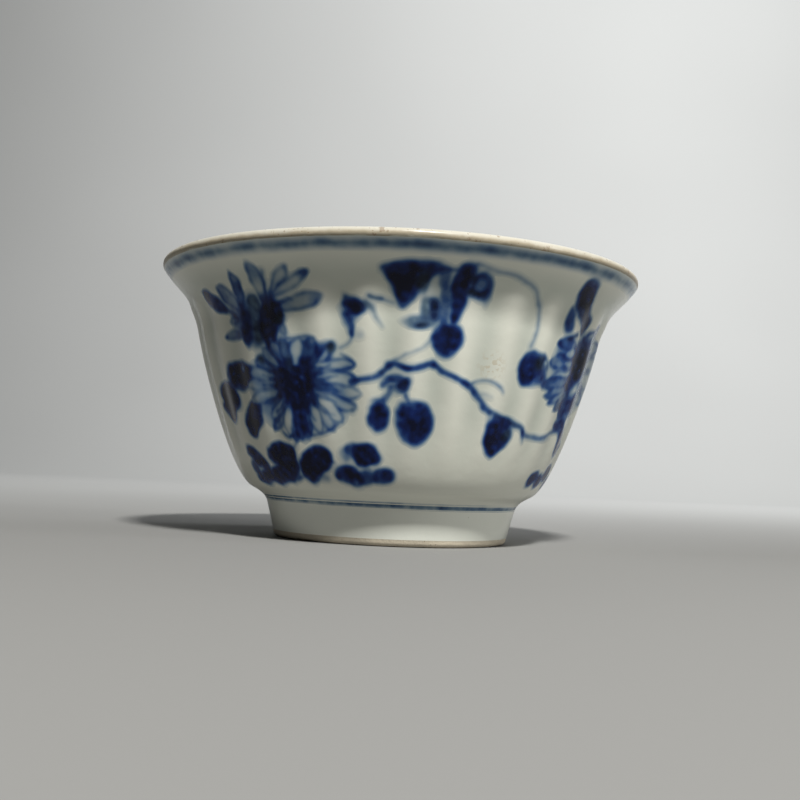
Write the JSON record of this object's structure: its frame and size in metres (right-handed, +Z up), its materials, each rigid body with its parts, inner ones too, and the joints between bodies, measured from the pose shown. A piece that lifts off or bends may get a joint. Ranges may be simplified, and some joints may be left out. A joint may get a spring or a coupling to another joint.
{
  "type": "tea cup",
  "caption": "Small handleless tea cup on a foot ring: flared rim, shallow upright flutes outside, and cobalt flower painting between two blue lines.",
  "frame": {"origin": "middle of the foot ring, on the surface the cup stands on", "axes": "+Z up along the cup's axis of symmetry; the painted side usually shown faces -Y"},
  "size_m": [0.076, 0.076, 0.0424],
  "materials": {
    "paste": "unglazed porcelain, fine and slightly warm, bare only on the foot",
    "glaze": "grey-white glossy glaze with a faint blue-green cast and small pinholes",
    "lip_brown": "thin buff-brown iron dressing, worn paler along the top",
    "line_blue": "slate-blue brushed line under the glaze",
    "cobalt": "cobalt blue washes and outlines under the glaze",
    "navy": "dense near-black cobalt under the glaze"
  },
  "bodies": {
    "root": {"bowl_body": "paste", "foot_ring": "paste", "inner_glaze": "glaze", "outer_glaze": "glaze", "foot_glaze": "glaze", "recess_glaze": "glaze", "lip_dressing": "lip_brown", "rim_line": "line_blue", "foot_line": "line_blue", "mum_front": "cobalt", "half_mum_front": "navy", "side_leaves_front": "navy", "ground_leaves_front": "navy", "sprig_front": "cobalt", "crown_leaf_front": "navy", "drop_leaf_front": "cobalt", "small_leaf_front": "cobalt", "tendril_front": "cobalt", "branch_front": "cobalt", "buds_front": "navy", "mum_right": "cobalt", "leaf_right": "navy", "branch_right": "cobalt", "buds_right": "navy", "mum_back": "cobalt", "half_mum_back": "navy", "ground_leaves_back": "navy", "branch_back": "cobalt", "buds_back": "navy"}
  },
  "joints": []
}
